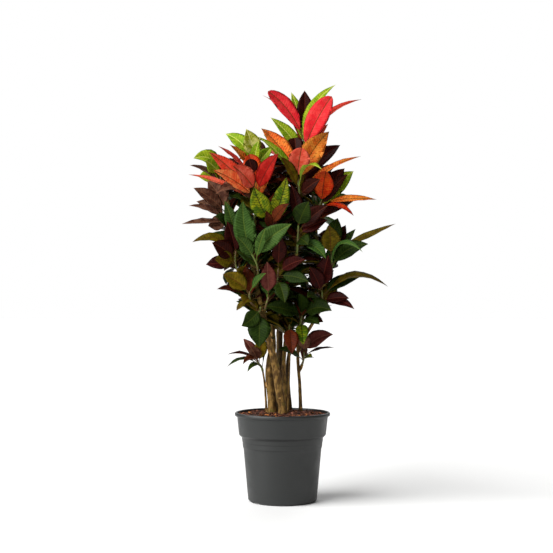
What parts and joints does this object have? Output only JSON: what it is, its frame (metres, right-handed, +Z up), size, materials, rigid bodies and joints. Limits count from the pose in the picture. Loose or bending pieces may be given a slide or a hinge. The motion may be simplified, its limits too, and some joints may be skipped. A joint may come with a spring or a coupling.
{
  "type": "potted croton",
  "caption": "Tall bushy croton with red, orange, lime, green and maroon leaves on woody stems in a dark nursery pot.",
  "frame": {"origin": "middle of the pot's flat underside, on the surface that it stands on", "axes": "+Z up along the pot's axis; -Y towards the side with the fullest red and orange leaves; +X to the right seen from there"},
  "size_m": [0.609, 0.394, 1.2065],
  "materials": {
    "pot_plastic": "dark grey moulded plastic, fine satin grain",
    "bark_soil": "loose red-brown bark chips and fibre, matt",
    "stem_bark": "tan and brown bark with pale leaf scars",
    "leaf_red": "glossy leathery leaf with contrasting midrib and side veins",
    "leaf_orange": "glossy leathery leaf with contrasting midrib and side veins",
    "leaf_lime": "glossy leathery leaf with contrasting midrib and side veins",
    "leaf_green": "glossy leathery leaf with contrasting midrib and side veins",
    "leaf_olive": "glossy leathery leaf with contrasting midrib and side veins",
    "leaf_maroon": "glossy leathery leaf with contrasting midrib and side veins"
  },
  "bodies": {
    "root": {"pot": "pot_plastic", "soil": "bark_soil", "stem_left": "stem_bark", "stem_front": "stem_bark", "stem_tall": "stem_bark", "stem_right_back": "stem_bark", "stem_thin_front": "stem_bark", "stem_back": "stem_bark", "stem_right": "stem_bark", "stem_thin_left": "stem_bark", "shoot_crown": "leaf_red", "shoot_red_left": "leaf_red", "shoot_upper_right": "leaf_red", "shoot_upper_back": "leaf_red", "shoot_upper_right_back": "leaf_red", "shoot_upper_front": "leaf_orange", "shoot_upper_left": "leaf_lime", "shoot_far_left": "leaf_lime", "shoot_upper_left_back": "leaf_lime", "shoot_middle_front": "leaf_lime", "shoot_left_front": "leaf_green", "shoot_middle_right": "leaf_green", "shoot_low_right": "leaf_green", "shoot_low_left": "leaf_green", "shoot_middle_back": "leaf_green", "shoot_right": "leaf_olive", "shoot_left": "leaf_olive", "shoot_lower_left": "leaf_olive", "shoot_right_back": "leaf_olive", "shoot_lower_left_back": "leaf_olive", "shoot_base_right": "leaf_olive", "shoot_base_left": "leaf_olive", "shoot_low_middle": "leaf_olive", "shoot_lower_right_back": "leaf_olive", "shoot_mauve_left": "leaf_maroon", "shoot_lower_right": "leaf_maroon", "shoot_lower_inner": "leaf_maroon", "shoot_inner_front": "leaf_maroon", "shoot_left_back": "leaf_maroon"}
  },
  "joints": []
}
